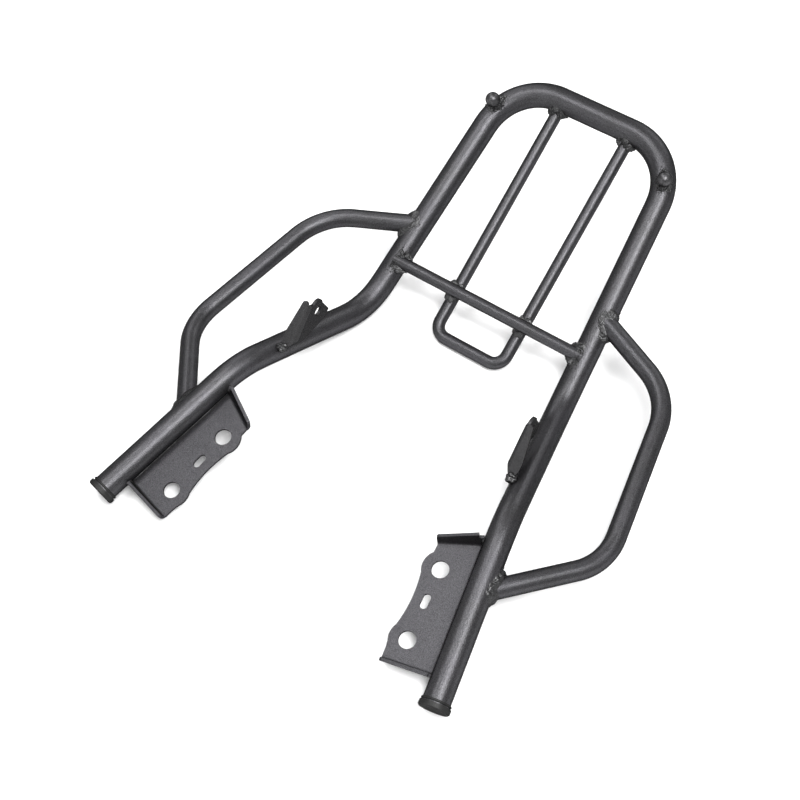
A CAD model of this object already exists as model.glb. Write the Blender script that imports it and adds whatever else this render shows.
import math
from collections import namedtuple

import bpy
import numpy as np
from mathutils import Matrix


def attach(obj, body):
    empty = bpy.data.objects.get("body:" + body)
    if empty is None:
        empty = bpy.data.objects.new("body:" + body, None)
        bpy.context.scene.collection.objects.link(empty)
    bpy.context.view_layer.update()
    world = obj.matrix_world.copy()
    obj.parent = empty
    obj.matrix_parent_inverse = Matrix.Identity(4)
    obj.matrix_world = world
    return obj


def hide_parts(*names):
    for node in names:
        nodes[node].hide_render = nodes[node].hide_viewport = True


# The welded luggage rack: powder-coated tubes, rough weld beads, folded plates and plastic end caps.
# Metres, +Z up, +Y to the back of the motorcycle. Left is +X, and the right side is its mirror image.

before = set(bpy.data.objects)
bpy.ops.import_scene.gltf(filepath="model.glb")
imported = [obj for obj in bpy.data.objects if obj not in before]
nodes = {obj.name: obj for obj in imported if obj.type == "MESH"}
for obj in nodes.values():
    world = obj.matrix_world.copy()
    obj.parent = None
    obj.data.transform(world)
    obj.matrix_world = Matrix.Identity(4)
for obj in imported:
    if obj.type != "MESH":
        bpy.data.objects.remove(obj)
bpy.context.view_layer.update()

SIDES = (("left", 1.0), ("right", -1.0))
ACROSS = np.array([1.0, 0.0, 0.0])
NO_TRIANGLES = np.zeros((0, 3), int)


def unit(v):
    """The vector, or each row of an array, divided by its own length."""
    return v / np.linalg.norm(v, axis=-1, keepdims=True)


# Layout of the left half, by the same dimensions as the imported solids

# Radii of the main tube, the handles, the rods and the knobs' necks
MAIN_R = 0.0127
HANDLE_R = 0.0095
ROD_R = 0.00635
NECK_R = 0.00475

# The deck: the middle of the back tube's axis, half width, length, rise, spread and back corners
BACK_MID = np.array([0.0, 0.2792402, 0.14727255])
DECK_HALF = 0.096
DECK_LEN = 0.278
DECK_RISE = math.radians(30.2)
DECK_SPREAD = 0.019
CORNER_R = 0.0595
DECK_AHEAD = np.array([0.0, -math.cos(DECK_RISE), -math.sin(DECK_RISE)])
DECK_UP = np.array([0.0, -math.sin(DECK_RISE), math.cos(DECK_RISE)])


def deck(x, forward, up=0.0):
    """Place on the sloping deck: sideways, forward from the back tube, and over the deck's plane,
    to the nearest micrometre."""
    return np.round(BACK_MID + x * ACROSS + forward * DECK_AHEAD + up * DECK_UP, 6)


def leg_x(forward):
    """Sideways place of the deck leg's axis: the half width, and the spread in proportion."""
    return DECK_HALF + DECK_SPREAD * forward / DECK_LEN


def bend_middle(a, b, c, r):
    """Centre of the bend that rounds the corner at b on the way from a to c. It lies on the corner's
    bisector, at the radius divided by the cosine of half the turn."""
    before, after = unit(b - a), unit(c - b)
    half_turn = math.acos(before @ after) / 2
    return b + unit(after - before) * r / math.cos(half_turn)


# Corners of the main tube's axis, and the directions of its step outward and its front leg
CORNER = deck(DECK_HALF, 0)
KNEE = deck(DECK_HALF + DECK_SPREAD, DECK_LEN)
SHOULDER = KNEE + [0.036, -0.1574, 0.047]
LEG_END = SHOULDER + [0.0357, -0.1645, -0.0395]
STEP_DIR = unit(SHOULDER - KNEE)
LEG_DIR = unit(LEG_END - SHOULDER)

# Ends and corners of the handle
HANDLE_JOINT = DECK_LEN - 0.100
HANDLE_BACK = deck(leg_x(HANDLE_JOINT), HANDLE_JOINT, 0.003)
GRIP_BACK = KNEE + [0.0896, 0.0459, 0.0423]
GRIP_FRONT = SHOULDER + [0.0888, 0.0282, -0.0296]
HANDLE_FRONT = SHOULDER + 0.070 * LEG_DIR

# The long rods, the crossbar that lies on them, and the place where they cross
ROD_HALF = 0.0398
ROD_LOW = 0.005
BAR_AT = DECK_LEN - 0.0563
BAR_GAP = 0.0002
LOOP_REACH = 0.0461
ROD_BACK = deck(ROD_HALF, 0, -ROD_LOW)
ROD_FRONT = deck(ROD_HALF, BAR_AT + LOOP_REACH, -ROD_LOW)
BAR_END = deck(leg_x(BAR_AT), BAR_AT, 2 * ROD_R + BAR_GAP - ROD_LOW)
BAR_MIDDLE = BAR_END * [0, 1, 1]
CROSSING = deck(ROD_HALF, BAR_AT, ROD_R + BAR_GAP / 2 - ROD_LOW)

# The knob: its place round the back corner, its outward lean, and the tube's direction under it
KNOB_TURN = math.radians(24)
KNOB_LEAN = math.radians(10)
KNOB_SIDE = math.cos(KNOB_TURN) * ACROSS - math.sin(KNOB_TURN) * DECK_AHEAD
KNOB_ROOT = bend_middle(deck(0, 0), CORNER, KNEE, CORNER_R) + CORNER_R * KNOB_SIDE
KNOB_DIR = math.cos(KNOB_LEAN) * DECK_UP + math.sin(KNOB_LEAN) * KNOB_SIDE
KNOB_AHEAD = np.cross(KNOB_SIDE, DECK_UP)

# The plate's flat frame: its origin is the middle of the row of holes, on the plate's upper face
PLATE_UP = unit(np.cross(LEG_DIR, ACROSS))
LEG_INWARD = np.cross(LEG_DIR, PLATE_UP)
ROW_IN = 0.0429
ROW_AT = 0.094
ROW_TURN = math.radians(3.4)
PLATE_LOW = 0.0072
PLATE_AT = SHOULDER + ROW_IN * LEG_INWARD + ROW_AT * LEG_DIR - PLATE_LOW * PLATE_UP
PLATE_X = math.sin(ROW_TURN) * LEG_DIR - math.cos(ROW_TURN) * LEG_INWARD
PLATE_Y = np.cross(PLATE_UP, PLATE_X)

# The plate's folds: both ends of each fold line, its angle, and the weld's height up it
Fold = namedtuple("Fold", "start end angle outward weld_high")
BACK_FOLD = Fold((-0.0119, 0.0535), (0.0284, 0.0679), math.radians(76), -1, 0.0105)
FRONT_FOLD = Fold((-0.0142, -0.0553), (0.0358, -0.0509), math.radians(82), 1, 0.0065)
FOLD_R = 0.0025

# The tab's foot: the front face's lower corner, the face's slope, and the weld's place from there
TAB_TILT = math.radians(46)
TAB_UP = np.array([0.0, math.cos(TAB_TILT), math.sin(TAB_TILT)])
TAB_OUT = np.array([0.0, -math.sin(TAB_TILT), math.cos(TAB_TILT)])
TAB_AT = KNEE + 0.126 * STEP_DIR + [-MAIN_R - 0.0092, 0, 0.0102]
TAB_FOOT = TAB_AT + 0.011 * ACROSS + 0.002 * TAB_UP - 0.0015 * TAB_OUT


# Meshes

def grid_faces(rows, around, closed):
    """Quads of a grid of points that closes round each row, and from the last row to the first
    where closed is true."""
    i = np.arange(rows if closed else rows - 1)[:, None]
    j = np.arange(around)[None, :]
    k, m = (i + 1) % rows, (j + 1) % around
    corners = (i * around + j, k * around + j, k * around + m, i * around + m)
    return np.stack(np.broadcast_arrays(*corners), -1).reshape(-1, 4)


def end_fans(rows, around):
    """Triangles from one more point at each end of the grid to the end's own row."""
    j = np.arange(around)
    m, base = (j + 1) % around, (rows - 1) * around
    tip, tail = rows * around, rows * around + 1
    first = np.stack([np.full(around, tip), j, m], -1)
    last = np.stack([np.full(around, tail), base + m, base + j], -1)
    return np.concatenate([first, last])


def volume(points, quads, triangles):
    """Six times the signed volume: the sum over all faces of the box product of their corners."""
    faces = np.concatenate([quads[:, [0, 1, 2]], quads[:, [0, 2, 3]], triangles]).astype(int)
    a, b, c = points[faces[:, 0]], points[faces[:, 1]], points[faces[:, 2]]
    return float(np.einsum("ij,ij->i", a, np.cross(b, c)).sum())


def add_object(name, data):
    """A new object in the scene, unturned at the origin."""
    made = bpy.data.objects.new(name, data)
    bpy.context.scene.collection.objects.link(made)
    return made


def piece(name, shape, material, stands_for=()):
    """Makes a smooth mesh that faces outwards, rides on the rack and stands for the named nodes."""
    points, quads, triangles = shape
    if volume(points, quads, triangles) < 0:
        quads, triangles = quads[:, ::-1], triangles[:, ::-1]
    mesh = bpy.data.meshes.new(name)
    mesh.from_pydata(points.tolist(), [], quads.tolist() + triangles.tolist())
    mesh.polygons.foreach_set("use_smooth", np.ones(len(mesh.polygons), bool))
    mesh.materials.append(material)
    mesh.update()
    made = add_object(name, mesh)
    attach(made, "root")
    if stands_for:
        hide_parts(*stands_for)


def both_sides(name, shape, material, stands_for=""):
    """The piece on the left, and its mirror image on the right."""
    points, quads, triangles = shape
    for side, sign in SIDES:
        replaced = [f"{side}_{stands_for}"] if stands_for else ()
        piece(f"{side}_{name}", (points * [sign, 1, 1], quads, triangles), material, replaced)


# Unevenness of the welds: every draw has its own number, and a wave pattern has sizes and counts

SEED = 7
FAR_TOE_DRAW = 50
DROP_DRAW = 60
LUMP_DRAW = 70
FINE_DRAW = 80
SPATTER_DRAW = 90

TOE_WAVES = (0.16, 0.15, 0.13, 0.09, 0.06), (2, 3, 5, 8, 13)
DROP_WAVES = (0.35, 0.3, 0.2), (3, 5, 9)
LUMP_WAVES = (0.5, 0.45, 0.35, 0.3), (4, 7, 11, 17)
FINE_WAVES = (0.3, 0.25), (13, 23)
PLATE_WAVES = (0.13, 0.10, 0.08, 0.05), (2, 3, 5, 9)
PLATE_DROP_WAVES = (0.35, 0.25), (4, 7)


def draws(number):
    """The random generator of one draw, the same in every run."""
    return np.random.default_rng(SEED * 100 + number)


def sines(place, sizes, counts, phases):
    """Sum of sines of the place along a seam, from 0 to 1, with whole numbers of waves."""
    return sum(size * np.sin(2 * np.pi * count * place + phase)
               for size, count, phase in zip(sizes, counts, phases))


def waves(place, number, sizes, counts):
    """Sum of sines along a closed seam, with drawn phases."""
    return sines(place, sizes, counts, draws(number).uniform(0, 2 * np.pi, len(counts)))


def places_along(points, closed):
    """The place of each point on its seam, from 0 to 1 by length, and the seam's whole length."""
    step = np.linalg.norm(np.roll(points, -1, 0) - points, axis=1)
    if not closed:
        step[-1] = 0
    total = step.sum()
    return (np.cumsum(step) - step) / total, total


def crescents(place, power):
    """One rounded tooth for each drop of weld: the sine of half a turn times the place's fraction,
    raised to a power under one, which gives it a steep front. Its mean is near zero."""
    return np.sin(np.pi * (place % 1.0) ** power) - 0.6


# Welds

# A branch tube runs from start toward another place, and meets the main tube, which has its axis
# from root to ahead
Joint = namedtuple("Joint", "start toward branch_r root ahead")
Seam = namedtuple("Seam", "points out face slide branch main")

# How deep a weld's toes go into the walls, and how far its face stands over the straight line
# between the toes, in parts of its leg
TOE_SUNK = 0.0002
BULGE = 0.10
LUMP_HIGH = 0.10
DROP_HIGH = 0.14
MAIN_TOE = 1.1


def saddle_seam(joint, count=420):
    """Seam of a branch tube on the main tube. Each ray runs along the branch's wall, and the larger
    root of the quadratic for the main tube's radius says how far along it the two walls meet.
    Gives the points, the branch's and the main tube's outward normals there, the direction that
    slides away from the branch over the main tube's wall, and both tubes' directions."""
    branch, main = unit(joint.toward - joint.start), unit(joint.ahead - joint.root)
    e = unit(np.cross(branch, main))
    g = np.cross(branch, e)
    turn = np.linspace(0, 2 * np.pi, count, endpoint=False)[:, None]
    out = np.cos(turn) * e + np.sin(turn) * g
    wall = joint.start + joint.branch_r * out
    off = (wall - joint.root) - ((wall - joint.root) @ main)[:, None] * main
    d = branch - (branch @ main) * main
    half = off @ d / (d @ d)
    rest = (np.einsum("ij,ij->i", off, off) - MAIN_R ** 2) / (d @ d)
    run = -half + np.sqrt(np.maximum(half ** 2 - rest, 0))
    points = wall + run[:, None] * branch
    face = unit((points - joint.root) - ((points - joint.root) @ main)[:, None] * main)
    slide = unit(out - (out * face).sum(1)[:, None] * face)
    return Seam(points, out, face, slide, branch, main)


def onto_tube(places, root, along, radius):
    """The places moved straight to or from a tube's axis until they are at the given radius."""
    apart = places - root
    run = (apart @ along)[:, None] * along
    return root + run + unit(apart - run) * radius


def fillet_surface(joint, leg, drop, seed, rough, across=26):
    """Lumpy welded fillet round a branch tube. One toe runs on the branch's wall and the other on
    the main tube's, each a leg's length from the seam, changed by waves along it. Between them the
    face is the straight line from toe to toe, raised by a half sine over the width, times a plain
    bulge, lumps that run slantwise both ways, and one crescent for each drop, which bends back
    with the square of the distance from the middle. Under the face the section closes inside the
    two walls."""
    points, out, face, slide, branch, main = saddle_seam(joint)
    place, total = places_along(points, True)
    near = leg * (1 + rough * waves(place, seed, *TOE_WAVES))[:, None]
    far = leg * (MAIN_TOE + rough * waves(place, seed + FAR_TOE_DRAW, *TOE_WAVES))[:, None]
    branch_toe = points + branch * near - out * TOE_SUNK
    main_toe = onto_tube(points + slide * far, joint.root, main, MAIN_R - TOE_SUNK)
    middle = unit(out + face)
    place = place[:, None]
    v = np.linspace(0, 1, across)[None, :]
    shift = waves(place, seed + DROP_DRAW, *DROP_WAVES)
    drops = max(round(total / drop), 4)
    teeth = crescents(place * drops + shift + 3.6 * (v - 0.5) ** 2, 0.6)
    lumps = (waves(place + 0.11 * v, seed + LUMP_DRAW, *LUMP_WAVES)
             + waves(place - 0.23 * v, seed + FINE_DRAW, *FINE_WAVES))
    rise = np.sin(np.pi * v) * (BULGE + rough * (LUMP_HIGH * lumps + DROP_HIGH * teeth)) * leg
    skin = (branch_toe[:, None] * (1 - v)[..., None] + main_toe[:, None] * v[..., None]
            + middle[:, None] * rise[..., None])
    under = np.stack([main_toe - face * TOE_SUNK * 3, points - middle * TOE_SUNK * 5,
                      branch_toe - out * TOE_SUNK * 3], 1)
    body = np.concatenate([skin, under], 1)
    return body.reshape(-1, 3), grid_faces(*body.shape[:2], True), NO_TRIANGLES


def ball_directions(rows, around):
    """Directions from the middle of a ball: a grid of latitudes by longitudes, then both poles."""
    lat = np.linspace(0, np.pi, rows + 2)[1:-1, None]
    lon = np.linspace(0, 2 * np.pi, around, endpoint=False)[None, :]
    way = np.stack([np.sin(lat) * np.cos(lon), np.sin(lat) * np.sin(lon), np.cos(lat) + 0 * lon], -1)
    return np.concatenate([way.reshape(-1, 3), [[0, 0, 1], [0, 0, -1]]])


def spatter_surface(joint, reach, count, seed, rows=7, around=10):
    """Small drops thrown on the main tube beside a weld: balls whose centres are on the tube's wall,
    at drawn places along the seam and drawn distances from it. Their radii go from the smallest
    to the largest with the square of a draw, so most of them are small."""
    seam = saddle_seam(joint)
    drawn = draws(seed + SPATTER_DRAW)
    pick = drawn.integers(0, len(seam.points), count)
    far = reach * (0.75 + drawn.exponential(0.45, count))[:, None]
    centre = onto_tube(seam.points[pick] + seam.slide[pick] * far, joint.root, seam.main, MAIN_R)
    smallest, more = 0.00035, 0.0005
    size = smallest + more * drawn.random(count) ** 2
    way = ball_directions(rows, around)
    body = centre[:, None] + size[:, None, None] * way[None]
    first = (np.arange(count) * len(way))[:, None, None]
    quads = (grid_faces(rows, around, False)[None] + first).reshape(-1, 4)
    triangles = (end_fans(rows, around)[None] + first).reshape(-1, 3)
    return body.reshape(-1, 3), quads, triangles


def blob_surface(centre, axes, seed, lump, fine, rows=60, around=84):
    """Lumpy drop: an ellipsoid on the given half axes, its radius changed by a sum of sine waves
    over the direction, six long ones for the lumps and ten short ones for the grain."""
    drawn = draws(seed)
    way = ball_directions(rows, around)
    swell = np.ones(len(way))
    for size, low, high, count in ((lump, 2, 4, 6), (fine, 7, 12, 10)):
        ways = unit(drawn.normal(size=(count, 3))) * drawn.uniform(low, high, (count, 1))
        phases = drawn.uniform(0, 6.28, count)
        swell = swell + size / math.sqrt(count) * np.sin(way @ ways.T + phases).sum(1)
    points = centre + (way * swell[:, None]) @ np.array(axes)
    return points, grid_faces(rows, around, False), end_fans(rows, around)


def even_steps(points, normals_a, normals_b, step):
    """The open path again with its points a fixed step apart, by linear interpolation over its length."""
    length = np.concatenate([[0], np.cumsum(np.linalg.norm(np.diff(points, axis=0), axis=1))])
    at = np.linspace(0, length[-1], max(int(length[-1] / step), 12))
    again = [np.stack([np.interp(at, length, p[:, k]) for k in range(3)], -1)
             for p in (points, normals_a, normals_b)]
    return again[0], unit(again[1]), unit(again[2])


def leg_wall(angle, along):
    """Points on the front leg's wall, at angles from inward to up and distances from the shoulder,
    and the wall's outward normals there."""
    out = np.cos(angle)[:, None] * LEG_INWARD + np.sin(angle)[:, None] * PLATE_UP
    return SHOULDER + along[:, None] * LEG_DIR + MAIN_R * out, out


def fold_seam(fold, low, count=24):
    """Rising part of the plate's seam on one fold, from the plate up. The place along the leg is
    where the leg's wall, at each angle round the leg, crosses the plane of the fold's inner face.
    Gives the points, the wall's normals and the face's normal."""
    a = PLATE_AT + fold.start[0] * PLATE_X + fold.start[1] * PLATE_Y
    b = PLATE_AT + fold.end[0] * PLATE_X + fold.end[1] * PLATE_Y
    outward = unit(np.cross(b - a, PLATE_UP)) * fold.outward
    face = math.cos(fold.angle) * PLATE_UP - math.sin(fold.angle) * outward
    inner = a + FOLD_R * PLATE_UP - FOLD_R * face
    angle = np.linspace(low, math.asin((fold.weld_high - PLATE_LOW) / MAIN_R), count)
    start, _ = leg_wall(angle, np.zeros(count))
    points, out = leg_wall(angle, (inner - start) @ face / (LEG_DIR @ face))
    return points, out, np.broadcast_to(face, out.shape)


def plate_seam():
    """Seam of the plate on the front leg: down the back fold, straight along the plate and up the
    front fold, in even steps."""
    low = -math.asin(PLATE_LOW / MAIN_R)
    back, front = fold_seam(BACK_FOLD, low), fold_seam(FRONT_FOLD, low)
    along = np.linspace((back[0][0] - SHOULDER) @ LEG_DIR, (front[0][0] - SHOULDER) @ LEG_DIR, 60)[1:-1]
    line, out = leg_wall(np.full(len(along), low), along)
    parts = [[p[::-1] for p in back], [line, out, np.broadcast_to(PLATE_UP, out.shape)], front]
    return even_steps(*[np.concatenate([p[k] for p in parts]) for k in range(3)], 0.00035)


def bead_surface(seam, size, drop, seed, rough, around=14):
    """Rippled bead swept along an open seam. Its section is a circle in the plane of the bisector of
    the two walls. The radius is the bead's size times one, plus waves along the seam for its
    lumps, plus a crescent for each drop, which bends back with the angle round the section. Toward
    both ends it shrinks with the root of the distance."""
    points, out_a, out_b = seam
    middle = unit(out_a + out_b)
    across = unit(np.cross(unit(np.gradient(points, axis=0)), middle))
    place, total = places_along(points, False)
    phases = draws(seed).uniform(0, 2 * np.pi, 4)
    uneven = sines(place, *PLATE_WAVES, phases)[:, None]
    shift = sines(place, *PLATE_DROP_WAVES, phases[1:3])[:, None]
    turn = np.linspace(0, 2 * np.pi, around, endpoint=False)[None, :]
    drops = max(round(total / drop), 4)
    teeth = crescents(place[:, None] * drops + shift + 0.45 * (1 - np.cos(turn)), 0.65)
    radius = size * (1 + rough * (uneven + 0.17 * teeth))
    to_end = np.minimum(place, 1 - place) * total / (1.2 * size)
    radius = radius * np.sqrt(np.clip(to_end, 0.02, 1))[:, None]
    body = points[:, None] + radius[..., None] * (np.cos(turn)[..., None] * middle[:, None]
                                                  + np.sin(turn)[..., None] * across[:, None])
    body = np.concatenate([body.reshape(-1, 3), points[:1], points[-1:]])
    return body, grid_faces(len(points), around, False), end_fans(len(points), around)


# Node groups and their parts

def feed(tree, socket, value):
    """Links a socket to the value where that is a socket too, and otherwise sets the value on it."""
    if isinstance(value, bpy.types.NodeSocket):
        tree.links.new(value, socket)
    elif isinstance(value, tuple):
        socket.default_value = (*value, 1)
    else:
        socket.default_value = value


def group(name, inputs, outputs):
    """A shader node group with the named inputs (name, kind, value) and outputs."""
    made = bpy.data.node_groups.new(name, "ShaderNodeTree")
    for label, kind, value in inputs:
        socket = made.interface.new_socket(label, in_out="INPUT", socket_type=f"NodeSocket{kind}")
        if value is not None:
            socket.default_value = value
    for label in outputs:
        made.interface.new_socket(label, in_out="OUTPUT", socket_type="NodeSocketFloat")
    return made, made.nodes.new("NodeGroupInput").outputs, made.nodes.new("NodeGroupOutput").inputs


def math_node(tree, operation, *values, clamp=False):
    """A Math node on sockets or numbers, and its output."""
    node = tree.nodes.new("ShaderNodeMath")
    node.operation, node.use_clamp = operation, clamp
    for socket, value in zip(node.inputs, values):
        feed(tree, socket, value)
    return node.outputs[0]


def noise(tree, where, scale, detail=2.0, rough=0.5):
    """A noise texture of so many features a metre on the given coordinates."""
    node = tree.nodes.new("ShaderNodeTexNoise")
    for label, value in (("Vector", where), ("Scale", scale), ("Detail", detail), ("Roughness", rough)):
        feed(tree, node.inputs[label], value)
    return node.outputs["Fac"]


def cells(tree, where, scale):
    """The distance to the nearest of so many scattered points a metre."""
    node = tree.nodes.new("ShaderNodeTexVoronoi")
    feed(tree, node.inputs["Vector"], where)
    feed(tree, node.inputs["Scale"], scale)
    return node.outputs["Distance"]


def blend(tree, factor, first, second):
    """A mix of two colours or colour sockets."""
    node = tree.nodes.new("ShaderNodeMix")
    node.data_type = "RGBA"
    for socket, value in zip((node.inputs["Factor"], node.inputs[6], node.inputs[7]),
                             (factor, first, second)):
        feed(tree, socket, value)
    return node.outputs[2]


def spread(tree, value, low, high):
    """Stretches a value from low..high to 0..1."""
    node = tree.nodes.new("ShaderNodeMapRange")
    feed(tree, node.inputs["Value"], value)
    feed(tree, node.inputs["From Min"], low)
    feed(tree, node.inputs["From Max"], high)
    return node.outputs["Result"]


def skin_group():
    """Skin of a baked powder coat: soft dimples with a finer grain on top, both in features a metre.
    Height goes to a bump; Grain is the fine part by itself."""
    inputs = [("Where", "Vector", None), ("Dimples", "Float", 700.0), ("Grain Size", "Float", 1500.0)]
    tree, into, out = group("coat_skin", inputs, ["Height", "Grain"])
    dimples = noise(tree, into["Where"], into["Dimples"], 1.5, 0.45)
    grain = noise(tree, into["Where"], into["Grain Size"], 2.0, 0.6)
    feed(tree, out["Height"], math_node(tree, "ADD", dimples, math_node(tree, "MULTIPLY", grain, 0.35)))
    feed(tree, out["Grain"], grain)
    return tree


def tone_group():
    """Slow unevenness of the finish. Cloud is the drift of the coat's thickness over some
    centimetres; Specks are the few pale dust grains baked in or lying on it, where the points of
    a fine scatter fall in the peaks of a coarser noise; Rub is handling marks, noise that shows
    most where the cloud is bright."""
    tree, into, out = group("coat_tone", [("Where", "Vector", None)], ["Cloud", "Specks", "Rub"])
    where = into["Where"]
    cloud = spread(tree, noise(tree, where, 26.0, 3.0, 0.55), 0.3, 0.7)
    near = spread(tree, cells(tree, where, 420.0), 0.16, 0.05)
    few = spread(tree, noise(tree, where, 90.0), 0.56, 0.66)
    rub = math_node(tree, "MULTIPLY", noise(tree, where, 150.0, 4.0, 0.7), cloud)
    feed(tree, out["Cloud"], cloud)
    feed(tree, out["Specks"], math_node(tree, "MULTIPLY", near, few, clamp=True))
    feed(tree, out["Rub"], spread(tree, rub, 0.3, 0.6))
    return tree


SKIN = skin_group()
TONE = tone_group()


def place_group(tree, made, where, **values):
    """Puts a node group in a material, on Object coordinates, with its own values."""
    node = tree.nodes.new("ShaderNodeGroup")
    node.node_tree = made
    feed(tree, node.inputs["Where"], where)
    for label, value in values.items():
        feed(tree, node.inputs[label.replace("_", " ")], value)
    return node.outputs


# Finishes

BLACK = (0.0, 0.0, 0.0)
PITS = 900.0


def coat_colour(tree, skin, tone, dark, light, speck, shade):
    """Base colour: it drifts from dark to light with the cloud. The grain turns it toward black in
    its hollows and toward a paler tone on its tops, and the specks lie over that. Where the
    surface turns away from the eye it darkens by the share in shade, as a rough coat does."""
    drift = blend(tree, tone["Cloud"], dark, light)
    hollow = blend(tree, 0.45, drift, BLACK)
    top = blend(tree, 0.5, drift, tuple(2.4 * c for c in light))
    colour = blend(tree, spread(tree, skin["Grain"], 0.30, 0.70), hollow, top)
    colour = blend(tree, tone["Specks"], colour, speck)
    side = tree.nodes.new("ShaderNodeLayerWeight")
    side.inputs["Blend"].default_value = 0.5
    away = math_node(tree, "MULTIPLY", spread(tree, side.outputs["Facing"], 0.25, 0.95), shade)
    return blend(tree, away, colour, BLACK)


def finish_material(name, dark, light, speck, roughness, bump, dimples=700.0, grain=1500.0,
                    edge=(0.16, 0.16, 0.17), pitted=0.0):
    """Coated or moulded finish. The roughness drifts with the rubbed marks and the grain, edge tints
    the gloss at grazing angles, and the skin feeds a bump of the given depth in metres, to which
    pitted adds the coarse pits of a welded surface."""
    material = bpy.data.materials.new(name)
    material.use_nodes = True
    tree = material.node_tree
    shader = tree.nodes["Principled BSDF"].inputs
    where = tree.nodes.new("ShaderNodeTexCoord").outputs["Object"]
    skin = place_group(tree, SKIN, where, Dimples=dimples, Grain_Size=grain)
    tone = place_group(tree, TONE, where)
    feed(tree, shader["Base Color"], coat_colour(tree, skin, tone, dark, light, speck, 0.55))
    rubbed = math_node(tree, "MULTIPLY_ADD", tone["Rub"], 0.10, roughness)
    feed(tree, shader["Roughness"], math_node(tree, "MULTIPLY_ADD", skin["Grain"], 0.08, rubbed))
    shader["Metallic"].default_value = 0.85
    shader["Specular Tint"].default_value = (*edge, 1)
    height = skin["Height"]
    if pitted:
        pits = math_node(tree, "MULTIPLY", cells(tree, where, PITS), pitted)
        height = math_node(tree, "ADD", height, pits)
    relief = tree.nodes.new("ShaderNodeBump")
    relief.inputs["Strength"].default_value = 1.0
    relief.inputs["Distance"].default_value = bump
    feed(tree, relief.inputs["Height"], height)
    feed(tree, shader["Normal"], relief.outputs["Normal"])
    return material


# Each finish: its dark and light base colours, its specks' colour, roughness and depth of bump
COAT = finish_material("satin_powder_coat", (0.0430, 0.0432, 0.0425), (0.0590, 0.0580, 0.0625),
                       (0.17, 0.17, 0.18), 0.31, 0.00022, dimples=1000.0)
PLATE_COAT = finish_material("plate_powder_coat", (0.0450, 0.0443, 0.0470), (0.0550, 0.0540, 0.0580),
                             (0.17, 0.17, 0.18), 0.42, 0.00022, dimples=950.0)
TAB_COAT = finish_material("tab_powder_coat", (0.0340, 0.0340, 0.0340), (0.0460, 0.0455, 0.0470),
                           (0.17, 0.17, 0.18), 0.42, 0.00024)
WELD_COAT = finish_material("coated_weld", (0.032, 0.032, 0.032), (0.056, 0.056, 0.057),
                            (0.24, 0.24, 0.24), 0.29, 0.00022, dimples=1300.0, pitted=0.5)
KNOB_COAT = finish_material("knob_powder_coat", (0.052, 0.052, 0.052), (0.068, 0.067, 0.070),
                            (0.18, 0.18, 0.18), 0.27, 0.00016)
CAP_PLASTIC = finish_material("cap_plastic", (0.026, 0.026, 0.026), (0.034, 0.034, 0.034),
                              (0.08, 0.08, 0.08), 0.52, 0.00008, dimples=1500.0, grain=3200.0,
                              edge=(0.3, 0.3, 0.3))

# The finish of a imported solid, by the end of its name; all the others have the satin coat
FINISHES = {"_mount_plate": PLATE_COAT, "_tab": TAB_COAT, "_weld": WELD_COAT, "_knob": KNOB_COAT,
            "_end_cap": CAP_PLASTIC}
CUT_SHEETS = ("_mount_plate", "_tab")


# The rack

def soften(thing):
    """Small rounding on the sharp edges of a cut sheet, made by modifiers over the untouched mesh."""
    join = thing.modifiers.new("join", "WELD")
    join.merge_threshold = 1e-6
    soft = thing.modifiers.new("soften", "BEVEL")
    soft.width = 0.0006
    soft.segments = 2
    soft.limit_method = "ANGLE"
    soft.angle_limit = math.radians(35)
    level = thing.modifiers.new("level", "WEIGHTED_NORMAL")
    level.weight = 100
    level.keep_sharp = False


def dress_nodes():
    """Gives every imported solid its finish, and the cut sheets their rounded edges."""
    for name, thing in nodes.items():
        if name.endswith(CUT_SHEETS):
            soften(thing)
        thing.data.materials.clear()
        thing.data.materials.append(next(
            (finish for ending, finish in FINISHES.items() if name.endswith(ending)), COAT))


def tube_welds():
    """A rough fillet and its spatter for each weld band round the end of a tube, a rod or a neck."""
    Ring = namedtuple("Ring", "name joint leg drop rough drops")
    rings = (
        Ring("handle_back", Joint(HANDLE_BACK, GRIP_BACK, HANDLE_R, CORNER, KNEE),
             0.0050, 0.0032, 0.85, 26),
        Ring("handle_front", Joint(HANDLE_FRONT, GRIP_FRONT, HANDLE_R, SHOULDER, LEG_END),
             0.0062, 0.0034, 0.65, 22),
        Ring("crossbar", Joint(BAR_END, BAR_MIDDLE, ROD_R, CORNER, KNEE),
             0.0052, 0.0032, 1.35, 30),
        Ring("rod", Joint(ROD_BACK, ROD_FRONT, ROD_R, deck(0, 0), CORNER),
             0.0054, 0.0030, 1.2, 24),
        Ring("knob", Joint(KNOB_ROOT, KNOB_ROOT + KNOB_DIR, NECK_R, KNOB_ROOT, KNOB_ROOT + KNOB_AHEAD),
             0.0050, 0.0028, 1.5, 46),
    )
    for seed, ring in enumerate(rings):
        fillet = fillet_surface(ring.joint, ring.leg, ring.drop, seed, ring.rough)
        spatter = spatter_surface(ring.joint, 1.3 * ring.leg, ring.drops, seed)
        both_sides(f"{ring.name}_bead", fillet, WELD_COAT, f"{ring.name}_weld")
        both_sides(f"{ring.name}_spatter", spatter, WELD_COAT)


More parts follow.
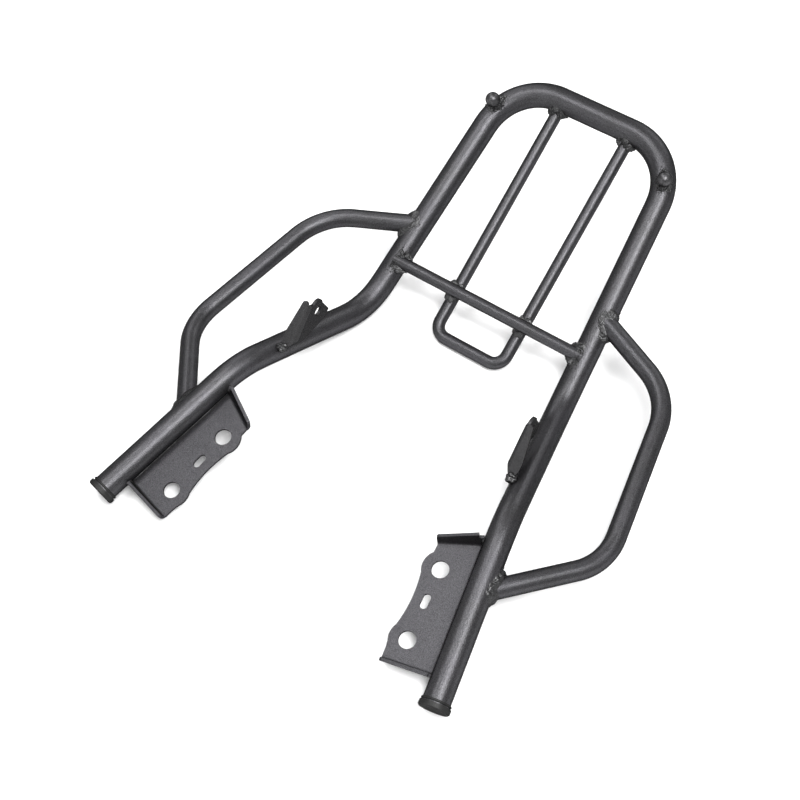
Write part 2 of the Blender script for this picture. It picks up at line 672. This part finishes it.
def other_welds():
    """The long bead on each plate, the drop at each tab's foot and the one where the rods cross."""
    bead = bead_surface(plate_seam(), 0.001612, 0.0024, 11, 0.9)
    both_sides("plate_bead", bead, WELD_COAT, "plate_weld")
    beside = unit(np.cross(STEP_DIR, ACROSS))
    axes = 0.0068 * STEP_DIR, 0.0050 * beside, 0.0054 * np.cross(STEP_DIR, beside)
    both_sides("tab_bead", blob_surface(TAB_FOOT, axes, 21, 0.20, 0.07), WELD_COAT,
               "tab_weld")
    axes = 0.0084 * ACROSS, 0.0098 * DECK_AHEAD, 0.0034 * DECK_UP
    both_sides("crossing_bead", blob_surface(CROSSING, axes, 22, 0.24, 0.12), WELD_COAT,
               "crossing_weld")


def cap_lips():
    """Second, thinner lip behind each cap's head: a flattened round section, a hair outside the
    tube's wall, turned about the front leg's axis."""
    behind, gap, high, half_long = 0.0021, 0.0002, 0.0009, 0.0011
    rows, around = 128, 14
    e = unit(np.cross(LEG_DIR, [0, 0, 1.0]))
    g = np.cross(LEG_DIR, e)
    turn = np.linspace(0, 2 * np.pi, rows, endpoint=False)[:, None, None]
    section = np.linspace(0, 2 * np.pi, around, endpoint=False)[None, :, None]
    reach = MAIN_R + gap + high * np.cos(section)
    body = (LEG_END - behind * LEG_DIR + reach * (np.cos(turn) * e + np.sin(turn) * g)
            + half_long * np.sin(section) * LEG_DIR)
    lip = body.reshape(-1, 3), grid_faces(rows, around, True), NO_TRIANGLES
    both_sides("cap_lip", lip, CAP_PLASTIC)


# The studio

# Soft lights: name, place, the place it points to, width, length and power
MIDDLE = (0.0, 0.0, 0.05)
LIGHTS = (
    ("key", (0.80, -0.50, 1.90), (0.0, -0.05, 0.05), 0.85, 1.1, 54.0),
    ("ceiling", (-0.75, -0.30, 2.05), MIDDLE, 0.8, 0.8, 20.0),
    ("front", (-0.6, -2.0, 1.15), MIDDLE, 1.0, 0.9, 9.0),
    ("left", (-1.7, 1.0, 1.4), MIDDLE, 1.0, 1.2, 11.0),
    ("back", (0.2, 2.2, 1.3), MIDDLE, 1.2, 1.0, 12.0),
)


def floor_and_surround():
    """A pale matt floor, and a plain white surround of weak light."""
    half, tone, strength = 6.0, 0.95, 0.42
    corners = [(-half, -half, 0), (half, -half, 0), (half, half, 0), (-half, half, 0)]
    mesh = bpy.data.meshes.new("floor")
    mesh.from_pydata(corners, [], [(0, 1, 2, 3)])
    floor = add_object("floor", mesh)
    paint = bpy.data.materials.new("floor_paint")
    paint.use_nodes = True
    shader = paint.node_tree.nodes["Principled BSDF"].inputs
    shader["Base Color"].default_value = (tone, tone, tone, 1)
    shader["Roughness"].default_value = 0.9
    shader["Specular IOR Level"].default_value = 0.1
    mesh.materials.append(paint)
    world = bpy.data.worlds.new("surround")
    world.use_nodes = True
    light = world.node_tree.nodes["Background"].inputs
    light["Color"].default_value = (1.0, 1.0, 1.0, 1)
    light["Strength"].default_value = strength
    bpy.context.scene.world = world
    bpy.context.scene.view_settings.view_transform = "Standard"


def soft_lights():
    """Five rectangular soft lights: a strong one overhead, one that the plates mirror, and three
    weaker ones round the rack that draw the highlights along the tubes."""
    for name, place, aim, width, length, power in LIGHTS:
        light = bpy.data.lights.new(name, "AREA")
        light.shape = "RECTANGLE"
        light.size = width
        light.size_y = length
        light.energy = power
        back = unit(np.array(place) - np.array(aim))
        right = unit(np.cross([0, 1.0, 0], back))
        turn = Matrix(np.stack([right, np.cross(back, right), back], -1).tolist()).to_4x4()
        add_object(name, light).matrix_world = Matrix.Translation(place) @ turn


def photo_camera():
    """Camera at the photograph's own angle, given by its right, down and forward directions."""
    right = np.array([0.820690, 0.571352, -0.004986])
    down = np.array([0.465164, -0.673179, -0.574850])
    forward = np.array([-0.331798, 0.469455, -0.818243])
    place = (0.424808, -0.667651, 1.104910)
    camera = bpy.data.cameras.new("photo_camera")
    camera.sensor_width = 36.0
    camera.lens = 61.484
    camera.clip_start = 0.05
    camera.clip_end = 50.0
    holder = add_object("photo_camera", camera)
    turn = Matrix(np.stack([right, -down, -forward], -1).tolist()).to_4x4()
    holder.matrix_world = Matrix.Translation(place) @ turn
    bpy.context.scene.camera = holder


dress_nodes()
tube_welds()
other_welds()
cap_lips()
floor_and_surround()
soft_lights()
photo_camera()
